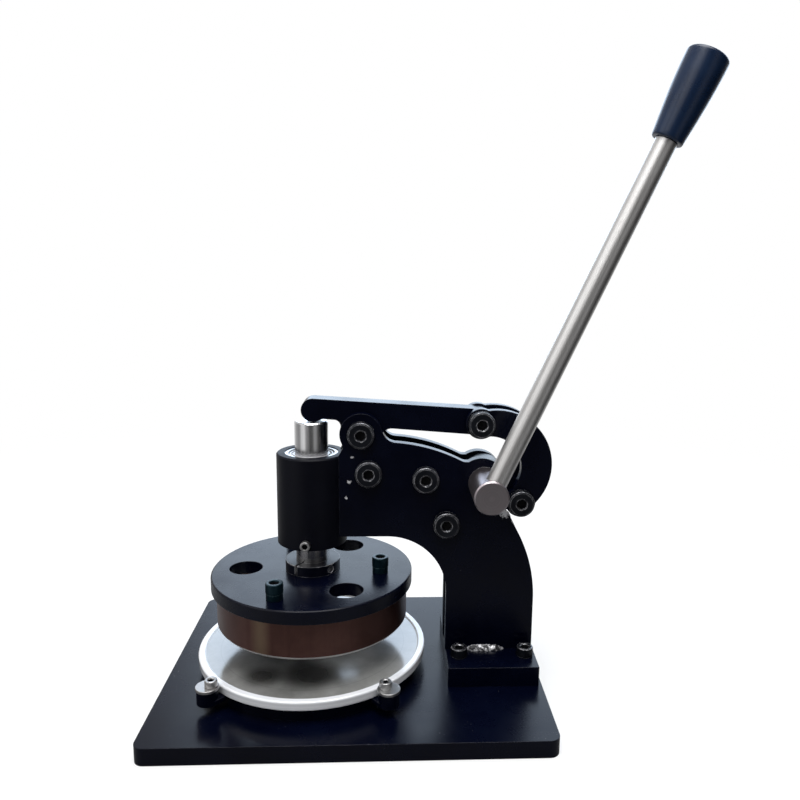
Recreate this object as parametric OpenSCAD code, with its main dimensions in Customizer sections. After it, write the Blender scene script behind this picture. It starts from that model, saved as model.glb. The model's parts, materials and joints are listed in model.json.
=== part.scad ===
// Circular sample cutter: a bench press whose handle turns a crank, the crank lifts a link, the link
// tips a rocker and the rocker's nose pushes a ram with a round die down on to a cutting mat.
// Millimetres, +Z up. The origin is where the ram's axis meets the underside of the base plate.
// X runs from the ram to the column, the operator stands on the -Y side.

/* [Base] */
// Length of the base plate
base_l = 224.5; // [222:0.5:260]
// Width of the base plate
base_w = 175; // [172:1:220]
// Thickness of the base plate
base_t = 10; // [10:0.5:16]
// Distance from the ram's axis to the left end of the base plate
base_left = 85.5; // [84:0.5:88]

/* [Die] */
// Outer diameter of the round cutting die
die_d = 116; // [114:1:118]
// Diameter of the sample that the cutting edge takes out
sample_d = 112.8; // [110:0.1:113]
// Height of the die ring
die_h = 22.5; // [21:0.5:23]
// Diameter of the plate that carries the die
plate_d = 122.4; // [121:0.2:124]
// Thickness of the plate that carries the die
plate_t = 8; // [7:0.5:9]
// Diameter of the finger holes in the die plate
finger_d = 20; // [16:1:21]
// Height of the cutting edge over the base's underside with the ram up
edge_z = 41.1; // [41.1:0.1:42]

/* [Mat] */
// Diameter of the cutting mat
mat_d = 139.6; // [138:0.2:140]
// Inner diameter of the mat's raised rim
mat_rim_d = 130.8; // [126:0.2:131.4]
// Diameter of the anvil under the mat
anvil_d = 132; // [130:1:134]

/* [Ram] */
// Diameter of the ram
ram_d = 20; // [20:0.1:20]
// Outer diameter of the barrel that guides the ram
barrel_d = 42; // [42:0.5:42]
// Height of the barrel's lower end over the base's underside
barrel_z = 90; // [90:0.5:91]
// Length of the barrel
barrel_l = 55.3; // [55:0.1:56]
// Outer diameter of the upper guide bush
bush_d = 32; // [31:0.5:33]

/* [Frame] */
// Thickness of each frame plate and link plate
plate_y = 6; // [5:0.5:6.5]
// Clear gap between the two frame plates
gap_y = 12.8; // [12.8:0.1:13.4]
// Thickness of the rocker and of the crank between the plates
lever_y = 12.4; // [11:0.1:12.4]
// Width of the column that stands on the foot block
column_w = 54; // [53:0.2:55]

/* [Handle] */
// Diameter of the hub that carries the handle rod
hub_d = 20; // [19:0.5:21]
// Distance that the hub stands out in front of the frame
hub_out = 30.9; // [30:0.1:32]
// Diameter of the handle rod
rod_d = 12.2; // [11:0.2:12.4]
// Angle of the rod over the horizontal with the ram up
rod_angle = 65.7; // [60:0.1:70]
// Distance from the hub's axis to the tip of the grip
handle_l = 261.3; // [240:0.1:280]
// Length of the grip
grip_l = 48.3; // [44:0.1:60]

/* [Hidden] */
$fn = 96;

// Play of a screw in its hole, and running clearance of a shaft in its bush
fit_play = 0.1;
run_play = 0.04;

// Heights over the base's underside
foot_t = 12;
foot_z = base_t + foot_t;
anvil_z = 18;
mat_top_z = 23.5;
mat_face_z = 22.6;
plate_z = edge_z + die_h;
collar_z = plate_z + plate_t;
collar_top_z = 78;
barrel_top_z = barrel_z + barrel_l;
ram_top_z = 164.4;

// Faces of the two plates: the front pair lies between front_y and -gap_y / 2
front_y = -gap_y / 2 - plate_y;
rear_y = gap_y / 2;
back_face_y = rear_y + plate_y;

// Pivot positions in the X-Z plane, ram up
rocker_pivot = [30, 158.5];
link_top = [101, 165];
link_low = [126, 117];
hub_axis = [104, 129];
nose = [1.5, 171.7];
nose_r = 7;
tail_r = 7.9;
link_end_r = 9.1;
hump_at = [102, 130];
hump_r = 14.3;
lobe_r = 12.5;

// Frame bolts in the X-Z plane: barrel lug, arm and shoulder
lug_bolt = [34.6, 135];
arm_bolt = [68.5, 131.5];
shoulder_bolt = [81.3, 103.5];

// Column and arm outline
column_left = 82;
column_right = column_left + column_w;
arm_low_z = 95.8;
throat_r = 36;
arm_x = 16.9;
arm_top_c = [43.6, 53.4];
arm_top_r = 100.5;

// Screw sizes
m10_r = 5;
m10_head_d = 16.2;
m10_head_h = 4.6;
m10_nut_d = 19.6;
m10_nut_h = 8;
m6_r = 3;
m6_head_d = 10;
m6_head_h = 6;
m4_r = 2;
m4_head_d = 7;
m4_head_h = 4;
pin_r = 4;

// Die screws, finger holes and mat clamps round the ram's axis
die_screw_at = [[-17, -44.6], [41.7, -7.7], [-16.5, 41]];
finger_angles = [181, 61, -57];
finger_pcr = 41;
clamp_at = [[-53.5, -55.1], [47.2, -60.3], [4, 76.6]];
clamp_screw_at = [[-51.2, -55.4], [45.4, -59.6], [3.9, 75]];
lug_r = 6;
lug_t = 2.5;
washer_t = 1.8;
stop_turn = -5;
stop_z = 94;
foot_screw_x = [90, 130.5];
foot_screw_y = 20.3;
journal_r = 8;

// Helpers

// Extrudes an outline drawn in X-Z along +Y from y to y + t
module upright(y, t) {
    translate([0, y + t, 0]) rotate([90, 0, 0]) linear_extrude(t) children();
}

// A cylinder along +Y
module rod_y(p, y, r, t) {
    translate([p[0], y, p[1]]) rotate([-90, 0, 0]) cylinder(r = r, h = t);
}

// A flat ring along +Y
module ring_y(p, y, r_out, r_in, t) {
    upright(y, t) translate(p) difference() {
        circle(r = r_out);
        circle(r = r_in);
    }
}

// A tube standing on z
module tube(r_out, r_in, z, h) {
    translate([0, 0, z]) difference() {
        cylinder(r = r_out, h = h);
        translate([0, 0, -1]) cylinder(r = r_in, h = h + 2);
    }
}

// Puts children at each of the angles on a circle
module around(angles, r) {
    for (a = angles) rotate([0, 0, a]) translate([r, 0, 0]) children();
}

// Puts children at each of the points, with +X pointing away from the ram's axis
module at_each(points) {
    for (p = points) rotate([0, 0, atan2(p[1], p[0])]) translate([norm(p), 0, 0]) children();
}

// A point at distance r and angle a from c
function polar(c, r, a) = c + r * [cos(a), sin(a)];

// Points of an arc about c with radius r from angle a to angle b
function arc(c, r, a, b, n = 24) = [for (i = [0:n]) polar(c, r, a + (b - a) * i / n)];

// A rectangle with round corners made of exact arcs
module round_rect(x0, y0, w, d, r) {
    translate([x0 + r, y0]) square([w - 2 * r, d]);
    translate([x0, y0 + r]) square([w, d - 2 * r]);
    for (x = [x0 + r, x0 + w - r], y = [y0 + r, y0 + d - r]) translate([x, y]) circle(r = r);
}

// A socket cap screw with its head's underside at the origin and its shank down -Z
module cap_screw(r, head_d, head_h, len, socket) {
    difference() {
        union() {
            cylinder(d = head_d, h = head_h - 0.5);
            translate([0, 0, head_h - 0.5]) cylinder(d1 = head_d, d2 = head_d - 1, h = 0.5);
            translate([0, 0, -len]) cylinder(r = r, h = len);
        }
        translate([0, 0, head_h - head_h * 0.5]) cylinder(d = socket, h = head_h, $fn = 6);
    }
}

// A countersunk screw whose head lies flush with z = 0 and whose shank goes up +Z
module flat_screw(r, head_r, len) {
    difference() {
        union() {
            cylinder(r1 = head_r, r2 = r, h = head_r - r);
            cylinder(r = r, h = len);
        }
        translate([0, 0, -1]) cylinder(d = r * 1.3, h = 2.2, $fn = 6);
    }
}

// A hexagon nut standing on the origin
module hex_nut(across, bore_r, h) {
    difference() {
        cylinder(d = across, h = h, $fn = 6);
        translate([0, 0, -1]) cylinder(r = bore_r, h = h + 2);
    }
}

// A bolt through the plates along +Y: low head in front, shank of length len
module cross_bolt(p, r, len) {
    translate([p[0], front_y, p[1]]) rotate([90, 0, 0])
        cap_screw(r, m10_head_d, m10_head_h, len, 7);
}

// A nut with its washer on the rear face
module rear_nut(p, r) {
    translate([p[0], back_face_y, p[1]]) rotate([-90, 0, 0]) {
        difference() {
            cylinder(r = m10_nut_d / 2, h = 1.6);
            translate([0, 0, -1]) cylinder(r = r + fit_play / 2, h = 4);
        }
        translate([0, 0, 1.6]) hex_nut(m10_nut_d - 1, r + fit_play / 2, m10_nut_h);
    }
}

// Base, anvil and mat

module base_plate() {
    color("#15171c") difference() {
        linear_extrude(base_t) round_rect(-base_left, -base_w / 2, base_l, base_w, 6);
        for (x = foot_screw_x, y = [-foot_screw_y, foot_screw_y])
            translate([x, y, -1]) cylinder(r = m6_r + fit_play, h = base_t + 2);
        around([30, 150, 270], 45) {
            translate([0, 0, -1]) cylinder(r = m6_r + fit_play, h = base_t + 2);
            translate([0, 0, -0.01]) cylinder(r1 = m6_r * 2 + fit_play, r2 = m6_r, h = m6_r + fit_play);
        }
    }
}

module anvil() {
    color("#101218") difference() {
        union() {
            translate([0, 0, base_t]) cylinder(d = anvil_d, h = anvil_z - base_t);
            at_each(clamp_at) {
                translate([0, 0, anvil_z - lug_t]) cylinder(r = lug_r, h = mat_top_z - anvil_z + lug_t);
                translate([-14, -lug_r, anvil_z - lug_t]) cube([14, 2 * lug_r, lug_t]);
            }
        }
        at_each(clamp_screw_at)
            translate([0, 0, anvil_z - 4]) cylinder(r = m4_r + fit_play, h = 12);
        around([30, 150, 270], 45)
            translate([0, 0, base_t - 1]) cylinder(r = m6_r + fit_play, h = 7.5);
    }
}

module anvil_screws() {
    color("#8a8d92") around([30, 150, 270], 45) flat_screw(m6_r, m6_r * 2, 15);
}

module cutting_mat() {
    r = mat_d / 2;
    face_r = mat_rim_d / 2;
    color("#e9ebee") rotate_extrude() polygon([
        [0, anvil_z], [r - 0.6, anvil_z], [r, anvil_z + 0.6], [r, mat_top_z - 0.7], [r - 0.7, mat_top_z],
        [face_r + 0.6, mat_top_z], [face_r, mat_face_z], [0, mat_face_z]
    ]);
}

module mat_washers() {
    color("#c9ccd0") difference() {
        at_each(clamp_at) translate([0, 0, mat_top_z]) cylinder(r = 6.5, h = washer_t);
        at_each(clamp_screw_at) translate([0, 0, mat_top_z - 1])
            cylinder(r = m4_r + fit_play, h = washer_t + 2);
    }
}

module mat_screws() {
    color("#c9ccd0") at_each(clamp_screw_at)
        translate([0, 0, mat_top_z + washer_t]) cap_screw(m4_r, m4_head_d, m4_head_h, 9, 3);
}

// Foot, frame plates and their fasteners

module foot_block() {
    color("#15171c") difference() {
        translate([column_left + 0.3, -35, base_t]) cube([column_w + 0.6, 70, foot_t]);
        for (x = foot_screw_x, y = [-foot_screw_y, foot_screw_y])
            translate([x, y, base_t - 1]) cylinder(r = m6_r + fit_play, h = foot_t + 2);
    }
}

module foot_screws() {
    color("#2a2c30") for (x = foot_screw_x, y = [-foot_screw_y, foot_screw_y])
        translate([x, y, foot_z]) cap_screw(m6_r, m6_head_d, m6_head_h, foot_t + 8, 5);
}

// The outline that both frame plates share: foot, column, shoulder, hump, arm and pivot lobe
module frame_outline() {
    throat = [column_left - throat_r, arm_low_z - throat_r];
    shoulder = [column_right - 91, 55];
    hump_dip_a = 62.8;
    hump_dip_r = 7.5;
    lobe_dip_a = 86;
    lobe_dip_r = 8.6;
    difference() {
        union() {
            polygon(concat(
                [[column_left, foot_z], [column_right, foot_z]],
                arc(shoulder, 91, 0, 33.5),
                [[hub_axis[0] + 13, link_low[1] + 6], hub_axis + [12, 5], hump_at + [-5, 11.2]],
                arc(polar(arm_top_c, arm_top_r + hump_dip_r, hump_dip_a), hump_dip_r,
                    276, 180 + hump_dip_a, 6),
                arc(arm_top_c, arm_top_r, hump_dip_a, lobe_dip_a, 12),
                arc(polar(arm_top_c, arm_top_r + lobe_dip_r, lobe_dip_a), lobe_dip_r, 264, 196, 8),
                [rocker_pivot + [6, 1], rocker_pivot + [-12, 0]],
                [[arm_x + 2.4, 150], [arm_x, barrel_top_z], [arm_x, arm_low_z]],
                arc(throat, throat_r, 90, 0)
            ));
            translate(hump_at) circle(r = hump_r);
            translate(rocker_pivot) circle(r = lobe_r);
        }
        translate(link_low) circle(r = link_end_r + 0.9);
    }
}

module frame_plate(y, hub_hole) {
    difference() {
        upright(y, plate_y) frame_outline();
        for (p = [lug_bolt, arm_bolt, shoulder_bolt, rocker_pivot])
            rod_y(p, y - 1, m10_r + fit_play, plate_y + 2);
        rod_y(hub_axis, y - 1, hub_hole, plate_y + 2);
        translate([0, 0, barrel_z - 1]) cylinder(d = barrel_d + fit_play, h = barrel_l + 1.02);
    }
}

module frame_plate_front() {
    color("#14161b") frame_plate(front_y, journal_r + 2);
}

module frame_plate_rear() {
    color("#14161b") frame_plate(rear_y, journal_r + 2);
}

// Fillet welds along the foot of each frame plate
module weld_beads() {
    color("#8f9094") for (s = [-1, 1])
        for (i = [0:5])
            translate([96 + 4.2 * i, s * -front_y, foot_z])
                intersection() {
                    sphere(r = 3.4, $fn = 24);
                    translate([-2.1, s > 0 ? 0 : -5, 0]) cube([4.2, 5, 5]);
                }
}

// Block between the plates, welded to the barrel and bolted through
module barrel_lug() {
    color("#14161b") difference() {
        translate([10, -gap_y / 2, 100]) cube([36, gap_y, 44]);
        translate([0, 0, 90]) cylinder(d = barrel_d + fit_play, h = 80);
        rod_y(lug_bolt, -gap_y, m10_r + fit_play, 2 * gap_y);
    }
}

module frame_spacers() {
    color("#55585e") for (p = [arm_bolt, shoulder_bolt])
        ring_y(p, -gap_y / 2, 8, m10_r + fit_play, gap_y);
}

module frame_bolts() {
    color("#26282c") for (p = [lug_bolt, arm_bolt, shoulder_bolt])
        cross_bolt(p, m10_r, back_face_y - front_y + 12);
}

module frame_nuts() {
    color("#26282c") for (p = [lug_bolt, arm_bolt, shoulder_bolt]) rear_nut(p, m10_r);
}

module rocker_pivot_bolt() {
    color("#26282c") cross_bolt(rocker_pivot, m10_r, back_face_y - front_y + 12);
}

module rocker_pivot_nut() {
    color("#26282c") rear_nut(rocker_pivot, m10_r);
}

module hub_bushes() {
    color("#b08d57") for (y = [front_y, rear_y])
        ring_y(hub_axis, y, journal_r + 1.98, journal_r + run_play, plate_y);
}

// Barrel, bushes and return spring

bush_z = barrel_top_z - 14;
lower_bush_h = 12;
chamber_z = barrel_z + lower_bush_h;
seat_z = chamber_z + 1.2;
circlip_z = 129.2;
collar_ring_z = circlip_z - 2;

module barrel() {
    color("#17191e") difference() {
        translate([0, 0, barrel_z]) union() {
            cylinder(d = barrel_d, h = barrel_l - 0.8);
            translate([0, 0, barrel_l - 0.8]) cylinder(d1 = barrel_d, d2 = barrel_d - 1.6, h = 0.8);
        }
        translate([0, 0, barrel_z - 1]) cylinder(r = 13, h = lower_bush_h + 2);
        translate([0, 0, chamber_z]) cylinder(r = 14.4, h = barrel_l);
        translate([0, 0, bush_z]) cylinder(d = bush_d, h = 20);
        translate([0, 0, barrel_top_z - 1.6]) cylinder(d = bush_d + 1.6, h = 1.2);
        rotate([0, 0, stop_turn]) translate([0, -barrel_d / 2 - 1, stop_z]) rotate([-90, 0, 0])
            cylinder(r = 1.5 + fit_play, h = 14);
    }
}

module upper_bush() {
    color("#cfd2d6") difference() {
        tube(bush_d / 2 - 0.02, ram_d / 2 + run_play, bush_z, 12.4);
        translate([0, 0, barrel_top_z - 4.4]) cylinder(r = 13.2, h = 4);
    }
}

module wiper_seal() {
    color("#33363b") difference() {
        tube(13.15, ram_d / 2 + run_play, barrel_top_z - 4.4, 3.4);
        translate([0, 0, barrel_top_z - 1.9]) difference() {
            cylinder(r = 12.2, h = 2);
            translate([0, 0, -1]) cylinder(r = 11.1, h = 4);
        }
    }
}

module bush_circlip() {
    color("#d6d8db") difference() {
        tube(bush_d / 2 + 0.78, 13.9, barrel_top_z - 1.6, 1.2);
        translate([0, 12, barrel_top_z - 2]) cube([9, 12, 4]);
    }
}

module lower_bush() {
    color("#b08d57") difference() {
        tube(12.98, ram_d / 2 + run_play, barrel_z, lower_bush_h);
        rotate([0, 0, stop_turn]) translate([0, -14, stop_z]) rotate([-90, 0, 0])
            cylinder(r = 1.5 + fit_play, h = 8);
    }
}

// Screw whose tip runs in the ram's keyway and keeps the die from turning
module stop_screw() {
    color("#a9acb0") rotate([0, 0, stop_turn]) translate([0, -barrel_d / 2 - 0.6, stop_z])
        rotate([90, 0, 0]) cap_screw(1.5, 6, 3.4, 12.4, 2.5);
}

module spring_seat() {
    color("#9da0a5") tube(14, ram_d / 2 + 0.4, chamber_z, 1.2);
}

spring_turns = 6;
spring_wire_r = 0.6;
spring_r = 12.4;
spring_low = seat_z + spring_wire_r + 0.02;
spring_top = collar_ring_z - spring_wire_r - 0.02;
spring_steps = 14;
spring_sides = 6;

function coil_point(i, s) =
    let (t = i / spring_steps, a = 360 * t, b = 360 * s / spring_sides)
    let (q = spring_r + spring_wire_r * cos(b))
    [q * cos(a), q * sin(a),
     spring_low + (spring_top - spring_low) * t / spring_turns + spring_wire_r * sin(b)];

module return_spring() {
    rings = spring_turns * spring_steps;
    points = [for (i = [0:rings], s = [0:spring_sides - 1]) coil_point(i, s)];
    walls = [for (i = [0:rings - 1], s = [0:spring_sides - 1])
        let (n = spring_sides, a = i * n + s, b = i * n + (s + 1) % n) [a, a + n, b + n, b]];
    low_end = [for (s = [0:spring_sides - 1]) s];
    top_end = [for (s = [spring_sides - 1:-1:0]) rings * spring_sides + s];
    color("#8d9096") polyhedron(points, concat(walls, [low_end], [top_end]));
}

// Ram, die plate and die

module ram() {
    color("#d9dbde") difference() {
        union() {
            translate([0, 0, plate_z]) cylinder(d = ram_d, h = ram_top_z - plate_z - 0.8);
            translate([0, 0, ram_top_z - 0.8]) cylinder(d1 = ram_d, d2 = ram_d - 1.6, h = 0.8);
        }
        tube(ram_d, ram_d / 2 - 0.8, circlip_z, 1.3);
        rotate([0, 0, stop_turn]) translate([-1.7, -ram_d / 2 - 1, barrel_z + 1.2]) cube([3.4, 2.6, 23]);
        translate([0, 0, plate_z - 1]) cylinder(r = 4 + fit_play, h = 22);
        translate([0, 0, ram_top_z - 4]) cylinder(r = 1.6, h = 5);
    }
}

module ram_circlip() {
    color("#a9acb0") difference() {
        tube(13, ram_d / 2 - 0.78, circlip_z + 0.05, 1.2);
        translate([-3, 5, circlip_z - 1]) cube([6, 12, 4]);
    }
}

module spring_collar() {
    color("#a9acb0") tube(13.8, ram_d / 2 + 0.02, collar_ring_z, circlip_z - collar_ring_z);
}

module die_plate() {
    color("#22252b") difference() {
        translate([0, 0, plate_z]) union() {
            cylinder(d = plate_d, h = plate_t - 0.6);
            translate([0, 0, plate_t - 0.6]) cylinder(d1 = plate_d, d2 = plate_d - 1.2, h = 0.6);
        }
        translate([0, 0, plate_z - 1]) cylinder(r = ram_d / 2 + 0.02, h = plate_t + 2);
        around(finger_angles, finger_pcr)
            translate([0, 0, plate_z - 1]) cylinder(d = finger_d, h = plate_t + 2);
        at_each(die_screw_at)
            translate([0, 0, plate_z - 1]) cylinder(r = m6_r + fit_play, h = plate_t + 2);
        around([0, 120, 240], 13.4) {
            translate([0, 0, plate_z - 1]) cylinder(r = 1.5 + fit_play, h = plate_t + 2);
            translate([0, 0, plate_z - 0.01]) cylinder(r1 = 3.1, r2 = 1.5, h = 1.6);
        }
    }
}

// Split collar that grips the ram above the die plate
module clamp_collar() {
    color("#1b1d22") difference() {
        tube(16.6, ram_d / 2 + 0.02, collar_z, collar_top_z - collar_z);
        rotate([0, 0, -122]) translate([8, -0.6, collar_z - 1]) cube([12, 1.2, 10]);
        rotate([0, 0, -44]) translate([8, 0, collar_z + 3.2]) rotate([0, 90, 0])
            cylinder(r = 2 + fit_play, h = 12);
        around([0, 120, 240], 13.4)
            translate([0, 0, collar_z - 1]) cylinder(r = 1.5 + fit_play, h = 5.5);
    }
}

module collar_grub_screw() {
    color("#b9bcc0") rotate([0, 0, -44]) translate([ram_d / 2 + 0.05, 0, collar_z + 3.2])
        rotate([0, 90, 0]) difference() {
            cylinder(r = 2, h = 6);
            translate([0, 0, 4]) cylinder(d = 2.2, h = 3, $fn = 6);
        }
}

module collar_screws() {
    color("#2a2c30") around([0, 120, 240], 13.4) translate([0, 0, plate_z]) flat_screw(1.5, 3, 12);
}

module ram_end_washer() {
    color("#a9acb0") tube(12, 4 + fit_play, plate_z - 2, 2);
}

module ram_end_screw() {
    color("#2a2c30") translate([0, 0, plate_z - 2]) rotate([180, 0, 0]) cap_screw(4, 13, 5, 20, 6);
}

die_lug_h = 8;

// Die ring: straight outside with a bevelled edge, stepped inside, three lugs for its screws
module die_ring() {
    inner_r = die_d / 2 - 4;
    color("#6e4f46") difference() {
        union() {
            rotate_extrude() polygon([
                [sample_d / 2, edge_z], [sample_d / 2 + 0.2, edge_z], [die_d / 2, edge_z + 1.6],
                [die_d / 2, plate_z], [inner_r, plate_z], [inner_r, edge_z + 9], [sample_d / 2, edge_z + 6]
            ]);
            at_each(die_screw_at) translate([0, 0, plate_z - die_lug_h]) cylinder(r = 7, h = die_lug_h);
            for (p = die_screw_at)
                rotate([0, 0, atan2(p[1], p[0])]) translate([norm(p), -7, plate_z - die_lug_h])
                    cube([inner_r - norm(p) + 1.4, 14, die_lug_h]);
        }
        at_each(die_screw_at)
            translate([0, 0, plate_z - die_lug_h - 1]) cylinder(r = m6_r + fit_play, h = die_lug_h + 2);
    }
}

sleeve_h = 3.7;

module die_screws() {
    color("#1d2a30") at_each(die_screw_at)
        translate([0, 0, collar_z + sleeve_h]) cap_screw(m6_r, m6_head_d, m6_head_h, 19, 5);
}

module die_screw_sleeves() {
    color("#1d2a30") at_each(die_screw_at) tube(4.8, m6_r + fit_play, collar_z, sleeve_h);
}

// Handle, hub shaft and crank

hub_front_y = front_y - hub_out;
rod_y_pos = hub_front_y + 7;
rod_start = hub_d / 2 - 6;
grip_start = handle_l - grip_l;

// Places children on the rod's axis with +Z along the rod
module along_rod() {
    translate([hub_axis[0], rod_y_pos, hub_axis[1]]) rotate([0, 90 - rod_angle, 0]) children();
}

module hub_shaft() {
    color("#c9cbce") difference() {
        union() {
            rod_y(hub_axis, hub_front_y + 0.8, hub_d / 2, hub_out - 1);
            translate([hub_axis[0], hub_front_y + 0.8, hub_axis[1]]) rotate([90, 0, 0])
                cylinder(r1 = hub_d / 2, r2 = hub_d / 2 - 0.8, h = 0.8);
            rod_y(hub_axis, front_y - 0.21, journal_r, back_face_y - front_y + 0.71);
        }
        along_rod() translate([0, 0, rod_start]) cylinder(r = rod_d / 2 + 0.02, h = hub_d);
        translate([hub_axis[0] - 2.5, -lever_y / 2, hub_axis[1] + journal_r - 2.5])
            cube([5, lever_y, 5]);
        rod_y(hub_axis, back_face_y - 12, m6_r + fit_play, 16);
    }
}

crank_r = 14;

module crank() {
    t = lever_y;
    color("#1a1c21") difference() {
        union() {
            rod_y(hub_axis, -t / 2, crank_r, t);
            rod_y(link_low, -t / 2, 8.6, t);
            upright(-t / 2, t) polygon([
                hub_axis + [6.6, 12], link_low + [4.9, 6.8],
                link_low + [-3.3, -7.7], hub_axis + [-3.6, -13.2]
            ]);
        }
        rod_y(hub_axis, -t, journal_r + 0.02, 2 * t);
        rod_y(link_low, -t, 6, 2 * t);
        translate([hub_axis[0] - 2.55, -t / 2 - 1, hub_axis[1] + journal_r - 3]) cube([5.1, t + 2, 5.6]);
    }
}

module crank_key() {
    color("#9da0a5") translate([hub_axis[0] - 2.48, -lever_y / 2, hub_axis[1] + journal_r - 2.45])
        cube([4.96, lever_y, 4.9]);
}

module crank_bush() {
    color("#b08d57") ring_y(link_low, -lever_y / 2, 5.98, pin_r + run_play, lever_y);
}

module hub_end_washer() {
    color("#a9acb0") ring_y(hub_axis, back_face_y + 0.5, 12, m6_r + fit_play, 2);
}

module hub_end_screw() {
    color("#2a2c30") translate([hub_axis[0], back_face_y + 2.5, hub_axis[1]]) rotate([-90, 0, 0])
        cap_screw(m6_r, m6_head_d, m6_head_h, 13, 5);
}

module handle_rod() {
    color("#d0d1d3") along_rod() translate([0, 0, rod_start]) difference() {
        cylinder(d = rod_d, h = grip_start - rod_start);
        translate([0, 0, grip_start - rod_start - 12]) cylinder(r = 3 + fit_play / 2, h = 14);
    }
}

// Grip that swells towards a slightly domed end with a round edge, on the rod's axis
module handle_grip() {
    dome = 2.8;
    edge_r = 2;
    body = grip_l - dome;
    big_r = 11.7;
    swell = 3;
    color("#12151d") along_rod() translate([0, 0, grip_start]) difference() {
        rotate_extrude() polygon(concat(
            [[0, 0], [7.2, 0]],
            [for (i = [0:12]) [big_r - swell * (1 - sin(7.5 * i)), 0.8 + (body - 0.8) * i / 12]],
            arc([big_r - edge_r, body], edge_r, 6, 78, 9), [[0, body + dome]]
        ));
        translate([0, 0, -1]) cylinder(r = 5, h = 23);
    }
}

module grip_insert() {
    color("#b39a55") along_rod() translate([0, 0, grip_start]) union() {
        translate([0, 0, 0.1]) cylinder(r = 4.95, h = 21.8);
        translate([0, 0, -11.5]) cylinder(r = 3, h = 12);
    }
}

// Rocker, with its fork left open where the linkage's loop is opened

// The bar runs from the nose to the link's upper pivot
bar_vec = link_top - nose;
bar_angle = atan2(bar_vec[1], bar_vec[0]);
bar_l = norm(bar_vec);
slot_r = pin_r + 0.6;
boss_r = 12.5;
left_dip_r = 4;
right_dip_r = 6;
left_y = -4.8;
right_y = -7.65;

// From the boss to the centre of a round inner corner that touches it, at height dy and on one side
function dip_offset(dy, reach, side) = [side * sqrt(reach * reach - dy * dy), dy];

// Puts an outline drawn along the bar where the rocker is
module along_bar(t) {
    translate([nose[0], 0, nose[1]]) rotate([0, -bar_angle, 0]) upright(-t / 2, t) children();
}

module rocker() {
    pivot = rocker_pivot - nose;
    boss = [
        pivot[0] * cos(bar_angle) + pivot[1] * sin(bar_angle),
        pivot[1] * cos(bar_angle) - pivot[0] * sin(bar_angle)
    ];
    left_dip = boss + dip_offset(left_y - left_dip_r - boss[1], boss_r + left_dip_r, -1);
    right_dip = boss + dip_offset(right_y - right_dip_r - boss[1], boss_r + right_dip_r, 1);
    left_a = atan2(boss[1] - left_dip[1], boss[0] - left_dip[0]);
    right_a = atan2(boss[1] - right_dip[1], boss[0] - right_dip[0]);
    color("#14161b") difference() {
        along_bar(lever_y) polygon(concat(
            arc([0, 0], nose_r, 90, 302, 36),
            [[6.2, left_y]],
            arc(left_dip, left_dip_r, 90, left_a, 10),
            arc(boss, boss_r, left_a + 180, right_a + 180, 30),
            arc(right_dip, right_dip_r, right_a, 90, 10),
            arc([bar_l, 0], tail_r, -90, 90)
        ));
        rod_y(rocker_pivot, -lever_y, 7, 2 * lever_y);
        along_bar(2 * lever_y) translate([bar_l, 0]) polygon(concat(
            arc([0, 0], slot_r, 118, 270), [[14, -slot_r], [14, 10.4]]
        ));
    }
}

module rocker_bush() {
    color("#b08d57") ring_y(rocker_pivot, -lever_y / 2, 6.98, m10_r + run_play, lever_y);
}

// Link: a pair of crescent plates outside the rocker and the crank

crescent_c = [110.4, 139.6];
crescent_r = 33.8;
inner_c = [106.8, 138.5];
inner_r = 19;

module link_outline() {
    side = link_low - link_top;
    side_angle = atan2(side[1], side[0]);
    union() {
        intersection() {
            difference() {
                translate(crescent_c) circle(r = crescent_r);
                translate(inner_c) circle(r = inner_r);
            }
            translate(link_top) rotate([0, 0, side_angle]) translate([-20, 0]) square([110, 60]);
        }
        translate(link_top) circle(r = link_end_r);
        translate(link_low) circle(r = link_end_r);
    }
}

module link_plate(y) {
    upright(y, plate_y) difference() {
        link_outline();
        translate(link_top) circle(r = pin_r + fit_play);
        translate(link_low) circle(r = pin_r + fit_play);
    }
}

module link_plate_front() {
    color("#14161b") link_plate(front_y);
}

module link_plate_rear() {
    color("#14161b") link_plate(rear_y);
}

module link_bolts() {
    color("#26282c") for (p = [link_top, link_low])
        cross_bolt(p, pin_r, back_face_y - front_y + 9);
}

module link_nuts() {
    color("#26282c") for (p = [link_top, link_low])
        translate([p[0], back_face_y, p[1]]) rotate([-90, 0, 0]) hex_nut(15, pin_r + fit_play / 2, 6.5);
}

base_plate();
anvil();
anvil_screws();
cutting_mat();
mat_washers();
mat_screws();
foot_block();
foot_screws();
frame_plate_front();
frame_plate_rear();
weld_beads();
barrel_lug();
frame_spacers();
frame_bolts();
frame_nuts();
rocker_pivot_bolt();
rocker_pivot_nut();
hub_bushes();
barrel();
upper_bush();
wiper_seal();
bush_circlip();
lower_bush();
stop_screw();
spring_seat();
return_spring();
ram();
ram_circlip();
spring_collar();
die_plate();
clamp_collar();
collar_grub_screw();
collar_screws();
ram_end_washer();
ram_end_screw();
die_ring();
die_screws();
die_screw_sleeves();
hub_shaft();
crank();
crank_key();
crank_bush();
hub_end_washer();
hub_end_screw();
handle_rod();
handle_grip();
grip_insert();
rocker();
rocker_bush();
link_plate_front();
link_plate_rear();
link_bolts();
link_nuts();
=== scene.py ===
import json
import math
import bmesh
import bpy
from mathutils import Matrix, Vector, noise


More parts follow.
